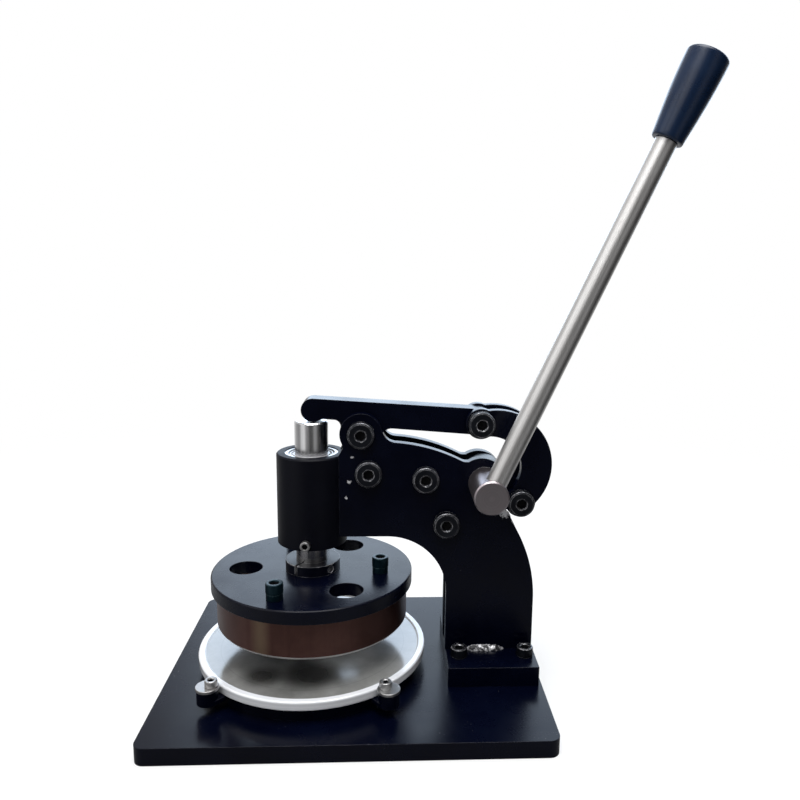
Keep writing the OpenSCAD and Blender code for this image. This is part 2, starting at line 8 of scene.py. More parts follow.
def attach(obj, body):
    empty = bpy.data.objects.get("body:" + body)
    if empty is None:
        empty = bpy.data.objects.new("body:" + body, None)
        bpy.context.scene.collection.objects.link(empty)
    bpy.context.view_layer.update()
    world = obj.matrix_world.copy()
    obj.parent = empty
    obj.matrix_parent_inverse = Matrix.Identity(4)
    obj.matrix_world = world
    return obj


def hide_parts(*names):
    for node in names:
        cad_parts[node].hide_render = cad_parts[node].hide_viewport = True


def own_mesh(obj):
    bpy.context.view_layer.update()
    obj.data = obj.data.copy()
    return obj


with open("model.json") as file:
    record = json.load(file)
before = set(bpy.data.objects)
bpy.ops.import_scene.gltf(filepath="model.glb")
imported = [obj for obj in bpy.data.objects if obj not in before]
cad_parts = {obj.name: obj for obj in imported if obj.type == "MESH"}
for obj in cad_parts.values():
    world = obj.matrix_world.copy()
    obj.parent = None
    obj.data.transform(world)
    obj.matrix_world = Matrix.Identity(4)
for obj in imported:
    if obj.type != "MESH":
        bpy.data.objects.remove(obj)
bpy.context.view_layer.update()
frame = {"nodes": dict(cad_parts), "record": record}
nodes = frame["nodes"]
record = frame["record"]
nodeBody = {n: b for b, names in record["behaviour"]["bodies"].items() for n in names}
nodeSlot = {s["node"]: s["material_slot"] for s in record["subparts"]}
mm = 0.001
print("frame loaded:", len(nodes), "nodes")


# Camera fitted to the photograph
cameraLook = {"place": (45.55, -437.37, 255.71), "yaw": 0.054, "pitch": 0.175, "roll": 0.015,
              "focal": 740.48, "centre": (426.89, 398.20), "pixels": 800, "sensor": 36, "clip": 0.01}


def makeCamera(look):
    yaw, pitch, roll = look["yaw"], look["pitch"], look["roll"]
    ahead = Vector((math.sin(yaw) * math.cos(pitch), math.cos(yaw) * math.cos(pitch), -math.sin(pitch)))
    right = Vector((math.cos(yaw), -math.sin(yaw), 0))
    up = right.cross(ahead)
    rolledRight = right * math.cos(roll) + up * math.sin(roll)
    rolledUp = up * math.cos(roll) - right * math.sin(roll)
    data = bpy.data.cameras.new("camera")
    pixels = look["pixels"]
    data.sensor_width = look["sensor"]
    data.lens = look["sensor"] * look["focal"] / pixels
    data.shift_x = 0.5 - look["centre"][0] / pixels
    data.shift_y = look["centre"][1] / pixels - 0.5
    data.clip_start = look["clip"]
    camera = bpy.data.objects.new("camera", data)
    bpy.context.scene.collection.objects.link(camera)
    place = Vector(look["place"]) * mm
    camera.matrix_world = Matrix((
        (rolledRight.x, rolledUp.x, -ahead.x, place.x), (rolledRight.y, rolledUp.y, -ahead.y, place.y),
        (rolledRight.z, rolledUp.z, -ahead.z, place.z), (0, 0, 0, 1)))
    bpy.context.scene.camera = camera


makeCamera(cameraLook)


# Node helpers: each makes one shader node and wires what it is given

def addNode(tree, kind, inputs=None, **settings):
    node = tree.nodes.new(kind)
    for key, value in settings.items():
        setattr(node, key, value)
    for key, value in (inputs or {}).items():
        if isinstance(value, bpy.types.NodeSocket):
            tree.links.new(value, node.inputs[key])
        else:
            node.inputs[key].default_value = value
    return node


def newGroup(name, ins, outs):
    tree = bpy.data.node_groups.new(name, "ShaderNodeTree")
    for label, kind, value in ins:
        socket = tree.interface.new_socket(label, in_out="INPUT", socket_type=kind)
        socket.default_value = value
    for label, kind in outs:
        tree.interface.new_socket(label, in_out="OUTPUT", socket_type=kind)
    return tree, tree.nodes.new("NodeGroupInput"), tree.nodes.new("NodeGroupOutput")


def useGroup(tree, group, inputs=None):
    return addNode(tree, "ShaderNodeGroup", inputs, node_tree=group)


def calc(tree, operation, first, second=0.0):
    return addNode(tree, "ShaderNodeMath", {0: first, 1: second}, operation=operation).outputs["Value"]


def remap(tree, value, low, high, fromLow=0.0, fromHigh=1.0, kind="LINEAR"):
    return addNode(tree, "ShaderNodeMapRange", {
        "Value": value, "From Min": fromLow, "From Max": fromHigh, "To Min": low, "To Max": high},
        interpolation_type=kind).outputs["Result"]


def noiseAt(tree, place, scale, detail, roughness=0.5):
    return addNode(tree, "ShaderNodeTexNoise", {
        "Vector": place, "Scale": scale, "Detail": detail, "Roughness": roughness}).outputs["Fac"]


def vectorMath(tree, operation, inputs, result="Vector"):
    return addNode(tree, "ShaderNodeVectorMath", inputs, operation=operation).outputs[result]


def blendColor(tree, factor, first, second):
    node = addNode(tree, "ShaderNodeMix", None, data_type="RGBA")
    for socket, value in ((node.inputs[0], factor), (node.inputs[6], first), (node.inputs[7], second)):
        if isinstance(value, bpy.types.NodeSocket):
            tree.links.new(value, socket)
        elif isinstance(value, (int, float)):
            socket.default_value = value
        else:
            socket.default_value = (*value, 1)
    return node.outputs[2]


# Parts of a noise's range that are stretched over the whole of a colour, a roughness or a mask
blotchSpan = (0.35, 0.65)
mottleSpan = (0.4, 0.6)
markSpan = (0.3, 0.7)
stainSpan = (0.42, 0.68)


# Worn edges: how far the rounded normal leans away from the true one, broken up by noise
def makeEdgeWear(look):
    tree, gin, gout = newGroup("edgeWear", [
        ("Radius", "NodeSocketFloat", 0.0006), ("Break up", "NodeSocketFloat", 300.0)],
        [("Mask", "NodeSocketFloat"), ("Normal", "NodeSocketVector")])
    rounded = addNode(tree, "ShaderNodeBevel", {"Radius": gin.outputs["Radius"]}, samples=look["samples"])
    true = addNode(tree, "ShaderNodeNewGeometry")
    both = {0: rounded.outputs["Normal"], 1: true.outputs["Normal"]}
    lean = vectorMath(tree, "DOT_PRODUCT", both, "Value")
    place = addNode(tree, "ShaderNodeTexCoord").outputs["Object"]
    patches = noiseAt(tree, place, gin.outputs["Break up"], 4.0)
    edge = remap(tree, lean, 0.0, 1.0, look["flat"], look["worn"])
    broken = remap(tree, patches, look["least"], 1.0, *look["patches"])
    tree.links.new(calc(tree, "MULTIPLY", edge, broken), gout.inputs["Mask"])
    tree.links.new(rounded.outputs["Normal"], gout.inputs["Normal"])
    return tree


# Fine grain: height for bump and a slow blotch for roughness and tint
def makeGrain():
    tree, gin, gout = newGroup("fineGrain", [
        ("Fine", "NodeSocketFloat", 1800.0), ("Coarse", "NodeSocketFloat", 45.0)],
        [("Height", "NodeSocketFloat"), ("Blotch", "NodeSocketFloat")])
    place = addNode(tree, "ShaderNodeTexCoord").outputs["Object"]
    tree.links.new(noiseAt(tree, place, gin.outputs["Fine"], 3.0), gout.inputs["Height"])
    tree.links.new(noiseAt(tree, place, gin.outputs["Coarse"], 5.0, 0.6), gout.inputs["Blotch"])
    return tree


# Dust: small specks that gather in patches on upward faces
def makeDust(look):
    tree, gin, gout = newGroup("dustSpecks", [
        ("Scale", "NodeSocketFloat", 420.0), ("Amount", "NodeSocketFloat", 0.5)],
        [("Mask", "NodeSocketFloat")])
    place = addNode(tree, "ShaderNodeTexCoord").outputs["Object"]
    specks = addNode(tree, "ShaderNodeTexVoronoi", {"Vector": place, "Scale": gin.outputs["Scale"]})
    speck = remap(tree, specks.outputs["Distance"], 0.0, 1.0, *look["specks"])
    cloud = remap(tree, noiseAt(tree, place, look["cloudScale"], 3.0), 0.0, 1.0, *look["clouds"])
    geometry = addNode(tree, "ShaderNodeNewGeometry")
    split = addNode(tree, "ShaderNodeSeparateXYZ", {"Vector": geometry.outputs["Normal"]})
    up = remap(tree, split.outputs["Z"], 0.0, 1.0, *look["upward"])
    mask = calc(tree, "MULTIPLY", calc(tree, "MULTIPLY", speck, cloud), up)
    tree.links.new(calc(tree, "MULTIPLY", mask, gin.outputs["Amount"]), gout.inputs["Mask"])
    return tree


# Drawing and turning marks. Axis is the direction of drawing, Centre a point on the turned part's axis:
# lines run along the axis, rings run round it
def makeMachining(look):
    tree, gin, gout = newGroup("machiningMarks", [
        ("Axis", "NodeSocketVector", (0.0, 0.0, 1.0)), ("Centre", "NodeSocketVector", (0.0, 0.0, 0.0)),
        ("Scale", "NodeSocketFloat", 900.0), ("Rings", "NodeSocketFloat", 1500.0)],
        [("Lines", "NodeSocketFloat"), ("Rings", "NodeSocketFloat")])
    place = addNode(tree, "ShaderNodeTexCoord").outputs["Object"]
    local = vectorMath(tree, "SUBTRACT", {0: place, 1: gin.outputs["Centre"]})
    along = vectorMath(tree, "PROJECT", {0: local, 1: gin.outputs["Axis"]})
    across = vectorMath(tree, "SUBTRACT", {0: local, 1: along})
    squeezed = vectorMath(tree, "SCALE", {0: along, "Scale": look["squeeze"]})
    drawn = vectorMath(tree, "ADD", {0: across, 1: squeezed})
    reach = vectorMath(tree, "LENGTH", {0: across}, "Value")
    height = vectorMath(tree, "DOT_PRODUCT", {0: local, 1: gin.outputs["Axis"]}, "Value")
    pair = addNode(tree, "ShaderNodeCombineXYZ", {"X": reach, "Y": height}).outputs["Vector"]
    tree.links.new(noiseAt(tree, drawn, gin.outputs["Scale"], 4.0, 0.65), gout.inputs["Lines"])
    tree.links.new(noiseAt(tree, pair, gin.outputs["Rings"], 3.0, 0.7), gout.inputs["Rings"])
    return tree


# Ragged spot round one point, used for paint chips and for a painted glare patch
def makeChipAndGlare(look):
    tree, gin, gout = newGroup("chipAndGlareSpot", [
        ("Point", "NodeSocketVector", (0.0, 0.0, 0.0)), ("Reach", "NodeSocketFloat", 0.001)],
        [("Mask", "NodeSocketFloat")])
    place = addNode(tree, "ShaderNodeTexCoord").outputs["Object"]
    away = vectorMath(tree, "DISTANCE", {0: place, 1: gin.outputs["Point"]}, "Value")
    rag = noiseAt(tree, place, look["ragScale"], 3.0)
    ragged = remap(tree, rag, -look["rag"], look["rag"], *markSpan)
    share = calc(tree, "ADD", calc(tree, "DIVIDE", away, gin.outputs["Reach"]), ragged)
    tree.links.new(remap(tree, share, 1.0, 0.0, *look["brim"]), gout.inputs["Mask"])
    return tree


edgeWear = makeEdgeWear({"samples": 6, "flat": 0.99, "worn": 0.86, "least": 0.2, "patches": (0.42, 0.62)})
chipAndGlareSpot = makeChipAndGlare({"ragScale": 900.0, "rag": 0.45, "brim": (0.6, 1.1)})
fineGrain = makeGrain()
dustSpecks = makeDust({
    "specks": (0.1, 0.04), "cloudScale": 60.0, "clouds": (0.55, 0.7), "upward": (0.3, 0.9)})
machiningMarks = makeMachining({"squeeze": 0.02})


def newMaterial(name):
    material = bpy.data.materials.new(name)
    material.use_nodes = True
    tree = material.node_tree
    tree.nodes.clear()
    shader = tree.nodes.new("ShaderNodeBsdfPrincipled")
    output = tree.nodes.new("ShaderNodeOutputMaterial")
    tree.links.new(shader.outputs["BSDF"], output.inputs["Surface"])
    return material, tree, shader


# Roughness follows a mask over its span, between two values
def setSurface(tree, shader, tint, mask, rough, span):
    tree.links.new(tint, shader.inputs["Base Color"])
    tree.links.new(remap(tree, mask, rough[0], rough[1], span[0], span[1]), shader.inputs["Roughness"])


def setBump(tree, shader, height, strength, depth, normal):
    bump = addNode(tree, "ShaderNodeBump", {
        "Height": height, "Strength": strength, "Distance": depth * mm, "Normal": normal})
    tree.links.new(bump.outputs["Normal"], shader.inputs["Normal"])


def setPlain(shader, values):
    for label, value in values.items():
        shader.inputs[label].default_value = value


# Painted, blackened or moulded surface: rounded edges that wear to another colour, blotchy gloss, chips, and
# pale spots of painted glare
def makeCoated(name, look):
    material, tree, shader = newMaterial(name)
    wear = useGroup(tree, edgeWear, {"Radius": look["edge"] * mm, "Break up": look["breakUp"]})
    grain = useGroup(tree, fineGrain, {"Fine": look["fine"], "Coarse": look["coarse"]})
    dust = useGroup(tree, dustSpecks, {"Scale": look["dustScale"], "Amount": look["dust"]})
    blotch = grain.outputs["Blotch"]
    tint = blendColor(tree, remap(tree, blotch, 0.0, 1.0, *blotchSpan), look["dark"], look["light"])
    tint = blendColor(tree, calc(tree, "MULTIPLY", wear.outputs["Mask"], look["wear"]), tint, look["bare"])
    tint = blendColor(tree, dust.outputs["Mask"], tint, look["dustColor"])
    # Pale spots: paint chips, and painted highlights where an edge catches the light
    for point, reach in look["chipsAndGlare"]:
        chipAndGlare = useGroup(tree, chipAndGlareSpot, {"Point": tuple(c * mm for c in point), "Reach": reach * mm})
        tint = blendColor(tree, chipAndGlare.outputs["Mask"], tint, look["chipAndGlareColor"])
    setSurface(tree, shader, tint, blotch, look["rough"], blotchSpan)
    setBump(tree, shader, grain.outputs["Height"], look["bump"], look["bumpDepth"], wear.outputs["Normal"])
    setPlain(shader, {"Metallic": look["metallic"], "Specular IOR Level": look["specular"],
                      "Coat Weight": look["coat"], "Coat Roughness": look["coatRough"]})
    return material


# Browned die steel: streaks down its side, a paler vertical band that is a painted reflection, and a honed
# bare foot
def makeDieSteel(name, look):
    material, tree, shader = newMaterial(name)
    wear = useGroup(tree, edgeWear, {"Radius": look["edge"] * mm, "Break up": look["breakUp"]})
    grain = useGroup(tree, fineGrain, {"Fine": look["fine"], "Coarse": look["coarse"]})
    marks = useGroup(tree, machiningMarks, {"Scale": look["streaks"]})
    mottle = calc(tree, "ADD", calc(tree, "MULTIPLY", grain.outputs["Blotch"], 1 - look["streakShare"]),
                  calc(tree, "MULTIPLY", marks.outputs["Lines"], look["streakShare"]))
    tint = blendColor(tree, remap(tree, mottle, 0.0, 1.0, *mottleSpan), look["dark"], look["light"])
    place = addNode(tree, "ShaderNodeTexCoord")
    split = addNode(tree, "ShaderNodeSeparateXYZ", {"Vector": place.outputs["Object"]})
    # Painted reflection: a paler vertical band down the side where the ring would mirror a light
    fromReflectionBand = calc(tree, "ABSOLUTE", calc(tree, "SUBTRACT", split.outputs["X"], look["reflectionBandAt"] * mm))
    reflectionBand = remap(tree, fromReflectionBand, look["reflectionBandShare"], 0.0, 0.0, look["reflectionBandReach"] * mm, "SMOOTHSTEP")
    tint = blendColor(tree, reflectionBand, tint, look["reflectionBandColor"])
    tint = blendColor(tree, wear.outputs["Mask"], tint, look["bare"])
    honed = remap(tree, split.outputs["Z"], 1.0, 0.0,
                  (look["honedBelow"] - look["honedFade"]) * mm, look["honedBelow"] * mm)
    tint = blendColor(tree, honed, tint, look["honedColor"])
    setSurface(tree, shader, tint, mottle, look["rough"], mottleSpan)
    setBump(tree, shader, marks.outputs["Lines"], look["bump"], look["bumpDepth"], wear.outputs["Normal"])
    setPlain(shader, {"Metallic": look["metallic"]})
    return material


# Bare or plated metal: lines drawn along its axis or rings turned round it, and slow stains
def makeMetal(name, look):
    material, tree, shader = newMaterial(name)
    wear = useGroup(tree, edgeWear, {"Radius": look["edge"] * mm})
    marks = useGroup(tree, machiningMarks, {
        "Axis": look["axis"], "Centre": tuple(c * mm for c in look["centre"]),
        "Scale": look["scale"], "Rings": look["ringScale"]})
    grain = useGroup(tree, fineGrain, {"Coarse": look["coarse"]})
    height = blendColor(tree, look["turned"], marks.outputs["Lines"], marks.outputs["Rings"])
    tint = blendColor(tree, remap(tree, height, 0.0, 1.0, *markSpan), look["dark"], look["light"])
    stain = remap(tree, grain.outputs["Blotch"], 0.0, look["stain"], *stainSpan)
    tint = blendColor(tree, stain, tint, look["stainColor"])
    setSurface(tree, shader, tint, height, look["rough"], markSpan)
    setBump(tree, shader, height, look["bump"], look["bumpDepth"], wear.outputs["Normal"])
    setPlain(shader, {"Metallic": 1.0})
    return material


# Cutting mat: glossy grey acrylic with a turned white rim, the ring that the die has cut, and dark spots
# painted in as the reflection of the finger holes
def makeMat(look):
    material, tree, shader = newMaterial("matWhite")
    place = addNode(tree, "ShaderNodeTexCoord").outputs["Object"]
    grain = useGroup(tree, fineGrain, {"Fine": look["fine"], "Coarse": look["coarse"]})
    wear = useGroup(tree, edgeWear, {"Radius": look["edge"] * mm})
    marks = useGroup(tree, machiningMarks, {"Rings": look["ridges"]})
    blotch = grain.outputs["Blotch"]
    flat = vectorMath(tree, "MULTIPLY", {0: place, 1: (1.0, 1.0, 0.0)})
    reach = vectorMath(tree, "LENGTH", {0: flat}, "Value")
    tint = blendColor(tree, remap(tree, blotch, 0.0, 1.0, *blotchSpan), look["dark"], look["light"])
    ridge = remap(tree, marks.outputs["Rings"], 0.0, 1.0, *blotchSpan)
    rim = remap(tree, reach, 0.0, 1.0, look["rimFrom"] * mm, (look["rimFrom"] + look["rimFade"]) * mm)
    tint = blendColor(tree, rim, tint, blendColor(tree, ridge, look["rimShade"], look["rimColor"]))
    fromRing = calc(tree, "ABSOLUTE", calc(tree, "SUBTRACT", reach, look["ring"] * mm))
    inner, outer = (width * mm for width in look["ringWidth"])
    cut = remap(tree, fromRing, look["ringDepth"], 0.0, inner, outer)
    tint = blendColor(tree, cut, tint, look["cutColor"])
    # Painted reflection: soft dark spots where the glossy face would mirror the die plate's finger holes
    for point, size in look["holeReflections"]:
        away = vectorMath(tree, "DISTANCE", {0: place, 1: tuple(c * mm for c in point)}, "Value")
        core, brim = (size * share * mm for share in look["holeReflectionFade"])
        holeReflection = remap(tree, away, look["holeReflectionShare"], 0.0, core, brim, "SMOOTHSTEP")
        tint = blendColor(tree, holeReflection, tint, look["holeReflectionColor"])
    setSurface(tree, shader, tint, blotch, look["rough"], blotchSpan)
    setBump(tree, shader, grain.outputs["Height"], look["bump"], look["bumpDepth"], wear.outputs["Normal"])
    setPlain(shader, {"Specular IOR Level": look["specular"], "Coat Weight": look["coat"],
                      "Coat Roughness": look["coatRough"]})
    return material


# Weld metal: bare ripples between soot and paint
def makeWeld(look):
    material, tree, shader = newMaterial("weldMetal")
    grain = useGroup(tree, fineGrain, {"Fine": look["fine"], "Coarse": look["patch"]})
    bare = remap(tree, grain.outputs["Blotch"], 0.0, 1.0, look["from"], look["from"] + look["blend"])
    tree.links.new(blendColor(tree, bare, look["soot"], look["bare"]), shader.inputs["Base Color"])
    rough = remap(tree, grain.outputs["Height"], *look["rough"], *markSpan)
    tree.links.new(rough, shader.inputs["Roughness"])
    tree.links.new(calc(tree, "MULTIPLY", bare, look["metallic"]), shader.inputs["Metallic"])
    bump = addNode(tree, "ShaderNodeBump", {
        "Height": grain.outputs["Height"], "Strength": look["bump"], "Distance": look["bumpDepth"] * mm})
    tree.links.new(bump.outputs["Normal"], shader.inputs["Normal"])
    return material


# Where the handle's rod and hub lie and where the front plate's face is, in mm
rodAngle = math.radians(65.7)
rodAxis = (math.cos(rodAngle), 0.0, math.sin(rodAngle))
hubAxis = (104.0, 0.0, 129.0)
plateFace = -12.4

# Coated finishes. Places and reaches are in mm, colours are linear
paintLook = {
    "dark": (0.0003, 0.0008, 0.0052), "light": (0.0006, 0.0016, 0.0085), "fine": 1500.0, "coarse": 40.0,
    "edge": 0.5, "breakUp": 260.0, "wear": 0.35, "bare": (0.1, 0.1, 0.12),
    "dust": 0.05, "dustScale": 500.0, "dustColor": (0.5, 0.5, 0.52),
    "chipsAndGlare": [], "chipAndGlareColor": (0.62, 0.62, 0.64),
    "rough": (0.2, 0.3), "bump": 0.06, "bumpDepth": 0.04, "metallic": 0.0, "specular": 0.17,
    "coat": 0.0, "coatRough": 0.08}
# Front plate: its first spot is a painted highlight where the plate's edge catches the light, the others are
# paint chips
plateLook = {
    **paintLook,
    "chipsAndGlare": [((116.9, plateFace, 110.2), 3.2), ((23.1, plateFace, 129.8), 1.2),
              ((21.3, plateFace, 119.9), 0.9), ((24.9, plateFace, 144.7), 0.9)]}
barrelLook = {
    **paintLook, "dark": (0.001, 0.0012, 0.004), "light": (0.002, 0.0024, 0.0065),
    "rough": (0.4, 0.5), "specular": 0.12}
collarLook = {
    **paintLook, "edge": 0.8, "wear": 1.5, "bare": (0.7, 0.7, 0.73), "rough": (0.28, 0.38), "specular": 0.3}
baseLook = {**paintLook, "coarse": 25.0, "dust": 0.7}
discLook = {
    **paintLook, "wear": 0.6, "bare": (0.16, 0.16, 0.18), "dust": 0.0, "rough": (0.22, 0.3), "specular": 0.2}
screwLook = {
    **paintLook, "dark": (0.0055, 0.0065, 0.0105), "light": (0.013, 0.0155, 0.022),
    "edge": 1.0, "wear": 1.7, "bare": (0.8, 0.8, 0.84), "dust": 0.0,
    "rough": (0.26, 0.36), "metallic": 0.6, "specular": 0.5}
tealLook = {
    **screwLook, "dark": (0.003, 0.014, 0.021), "light": (0.006, 0.027, 0.039),
    "edge": 0.6, "wear": 0.9, "bare": (0.1, 0.17, 0.19), "specular": 0.3}
socketLook = {
    **paintLook, "dark": (0.002, 0.002, 0.003), "light": (0.005, 0.005, 0.007),
    "wear": 0.0, "dust": 0.0, "rough": (0.5, 0.7), "specular": 0.2}
gripLook = {
    **paintLook, "dark": (0.0022, 0.011, 0.037), "light": (0.004, 0.0175, 0.053),
    "edge": 0.4, "wear": 0.1, "bare": (0.02, 0.03, 0.05), "dust": 0.0,
    "rough": (0.24, 0.32), "specular": 0.4, "coat": 0.08}
sealLook = {
    **paintLook, "dark": (0.34, 0.34, 0.36), "light": (0.46, 0.46, 0.48), "wear": 0.0, "specular": 0.8,
    "coat": 0.5}
# The die's paler vertical band is a painted reflection
dieLook = {
    "dark": (0.076, 0.034, 0.028), "light": (0.108, 0.052, 0.043), "fine": 1500.0, "coarse": 40.0,
    "streaks": 260.0, "streakShare": 0.3, "edge": 0.4, "breakUp": 260.0, "bare": (0.6, 0.52, 0.48),
    "reflectionBandAt": -24.0, "reflectionBandReach": 7.0, "reflectionBandShare": 0.55, "reflectionBandColor": (0.26, 0.19, 0.12),
    "honedBelow": 42.9, "honedFade": 0.15, "honedColor": (0.78, 0.77, 0.76),
    "rough": (0.28, 0.38), "bump": 0.08, "bumpDepth": 0.04, "metallic": 0.75}

# Metal finishes: turned is 0 for lines along the axis, 1 for rings round it
steelLook = {
    "dark": (0.56, 0.54, 0.53), "light": (0.74, 0.72, 0.71), "stain": 0.2, "stainColor": (0.5, 0.42, 0.4),
    "axis": (0.0, 0.0, 1.0), "centre": (0.0, 0.0, 0.0), "turned": 0.0, "scale": 1400.0, "ringScale": 2600.0,
    "coarse": 60.0, "edge": 0.3, "rough": (0.2, 0.3), "bump": 0.2, "bumpDepth": 0.02}
rodLook = {
    **steelLook, "dark": (0.66, 0.65, 0.64), "light": (0.8, 0.79, 0.78), "stain": 0.1,
    "axis": rodAxis, "centre": hubAxis, "scale": 1800.0, "rough": (0.36, 0.44), "bump": 0.1}
hubLook = {
    **steelLook, "dark": (0.38, 0.345, 0.36), "light": (0.47, 0.425, 0.445), "stain": 0.25,
    "stainColor": (0.44, 0.36, 0.385), "axis": (0.0, 1.0, 0.0), "centre": hubAxis, "turned": 1.0,
    "coarse": 110.0, "rough": (0.32, 0.4), "bump": 0.05}
ramLook = {
    **steelLook, "dark": (0.62, 0.62, 0.63), "light": (0.82, 0.82, 0.83), "stain": 0.1, "scale": 700.0,
    "rough": (0.2, 0.28)}
platedLook = {
    **steelLook, "dark": (0.42, 0.42, 0.42), "light": (0.6, 0.6, 0.6), "stain": 0.15, "turned": 1.0,
    "rough": (0.28, 0.42)}
ringLook = {**platedLook, "rough": (0.18, 0.3)}
bronzeLook = {
    **steelLook, "dark": (0.4, 0.24, 0.09), "light": (0.6, 0.4, 0.18), "stainColor": (0.2, 0.12, 0.05)}
weldLook = {
    "fine": 1400.0, "patch": 260.0, "from": 0.46, "blend": 0.08, "soot": (0.012, 0.012, 0.016),
    "bare": (0.8, 0.8, 0.83), "rough": (0.3, 0.6), "metallic": 0.8, "bump": 0.6, "bumpDepth": 0.2}
# The mat's dark spots are a painted reflection of the finger holes in the die plate above
matLook = {
    "dark": (0.16, 0.16, 0.153), "light": (0.3, 0.3, 0.29), "fine": 900.0, "coarse": 25.0, "edge": 0.5,
    "rimFrom": 65.3, "rimFade": 0.4, "rimColor": (0.93, 0.94, 0.97), "rimShade": (0.8, 0.82, 0.86),
    "ridges": 900.0, "ring": 56.6, "ringDepth": 0.2, "ringWidth": (0.1, 0.5),
    "cutColor": (0.08, 0.08, 0.085), "holeReflections": [((-26.1, -41.2, 18.0), 12.5), ((3.6, -40.7, 18.0), 17.0)],
    "holeReflectionFade": (0.4, 1.3), "holeReflectionShare": 0.85, "holeReflectionColor": (0.03, 0.028, 0.025),
    "rough": (0.12, 0.2), "bump": 0.04, "bumpDepth": 0.03, "specular": 0.9, "coat": 0.9, "coatRough": 0.13}

materials = {
    "black_paint": makeCoated("blackPaint", paintLook),
    "black_screw": makeCoated("blackScrew", screwLook),
    "die_brown": makeDieSteel("dieBrown", dieLook),
    "mat_white": makeMat(matLook),
    "ground_steel": makeMetal("groundSteel", steelLook),
    "plated_steel": makeMetal("platedSteel", platedLook),
    "bronze": makeMetal("bronze", bronzeLook),
    "grip_plastic": makeCoated("gripPlastic", gripLook),
    "seal_rubber": makeCoated("sealRubber", sealLook),
}
socketInside = makeCoated("socketInside", socketLook)
# Nodes whose finish differs from that of their slot
special = {
    "barrel": makeCoated("barrelPaint", barrelLook),
    "base_plate": makeCoated("basePaint", baseLook),
    "clamp_collar": makeCoated("collarPaint", collarLook),
    "die_plate": makeCoated("discPaint", discLook),
    "frame_plate_front": makeCoated("platePaint", plateLook),
    "die_screws": makeCoated("tealScrew", tealLook),
    "handle_rod": makeMetal("rodSteel", rodLook),
    "hub_shaft": makeMetal("hubSteel", hubLook),
    "ram": makeMetal("ramSteel", ramLook),
    "upper_bush": makeMetal("bushRing", ringLook),
    "weld_beads": makeWeld(weldLook),
}
special["die_screw_sleeves"] = special["die_screws"]
special["bush_circlip"] = special["upper_bush"]
special["hub_bushes"] = special["upper_bush"]


def finishOf(node):
    return special.get(node, materials[nodeSlot[node]])


for name, obj in nodes.items():
    if not obj.material_slots:
        obj.data.materials.append(None)
    for holder in obj.material_slots:
        holder.material = finishOf(name)
print("materials made")


mergeWithin = 2e-6
flatBelow = 0.4


# Turns a finished bmesh into a piece that rides with its node's body
def addPiece(name, bm, node, sharpAbove=32.0, inside=None):
    bmesh.ops.recalc_face_normals(bm, faces=bm.faces[:])
    mesh = bpy.data.meshes.new(name)
    bm.to_mesh(mesh)
    bm.free()
    for label in ("custom_normal", "sharp_edge", "sharp_face"):
        if label in mesh.attributes:
            mesh.attributes.remove(mesh.attributes[label])
    mesh.materials.append(finishOf(node))
    if inside:
        mesh.materials.append(inside)
    mesh.shade_smooth()
    mesh.set_sharp_from_angle(angle=math.radians(sharpAbove))
    piece = bpy.data.objects.new(name, mesh)
    bpy.context.scene.collection.objects.link(piece)
    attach(piece, nodeBody[node])
    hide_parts(node)
    return piece


# The node's own solid with its edges broken by a small bevel
def dress(node, width, segments=2, limit=28.0):
    bm = bmesh.new()
    bm.from_mesh(nodes[node].data)
    bmesh.ops.remove_doubles(bm, verts=bm.verts[:], dist=mergeWithin)
    bmesh.ops.dissolve_limit(bm, angle_limit=math.radians(flatBelow), verts=bm.verts[:], edges=bm.edges[:])
    piece = addPiece(node + "_dressed", bm, node)
    bevel = piece.modifiers.new("edges", "BEVEL")
    bevel.width = width * mm
    bevel.segments = segments
    bevel.limit_method = "ANGLE"
    bevel.angle_limit = math.radians(limit)
    bevel.harden_normals = True
    return piece


# Skins a stack of rings. A ring is (radius or shape, height) in mm, and a shape gives a radius for an angle
# and a height. The last inner bands take the piece's second material
def loft(bm, rings, place, steps=72, closed=False, inner=0):
    loops = []
    for shape, z in rings:
        loop = []
        for i in range(steps):
            t = 2 * math.pi * i / steps
            r = shape(t, z) if callable(shape) else shape
            loop.append(bm.verts.new(place @ Vector((r * math.cos(t) * mm, r * math.sin(t) * mm, z * mm))))
        loops.append(loop)
    pairs = list(zip(loops, loops[1:]))
    if closed:
        pairs.append((loops[-1], loops[0]))
    for count, (low, high) in enumerate(pairs):
        for i in range(steps):
            j = (i + 1) % steps
            face = bm.faces.new((low[i], low[j], high[j], high[i]))
            face.material_index = 1 if count >= len(pairs) - inner else 0
    if not closed:
        bm.faces.new(loops[0][::-1])
        bm.faces.new(loops[-1]).material_index = 1 if inner else 0


# Shapes for rings: hexagon, knurl, thread, and nut with its corners cut to a circle
def hexShape(across):
    return lambda t, z: across / 2 / math.cos((t + math.pi / 6) % (math.pi / 3) - math.pi / 6)


def knurlShape(radius, count, depth):
    return lambda t, z: radius - depth * (0.5 - 0.5 * math.cos(count * t))


def threadShape(radius, pitch, depth):
    return lambda t, z: radius - depth * abs(2 * ((z / pitch - t / (2 * math.pi)) % 1) - 1)


def nutShape(across, limit):
    sides = hexShape(across)
    return lambda t, z: min(sides(t, z), limit)


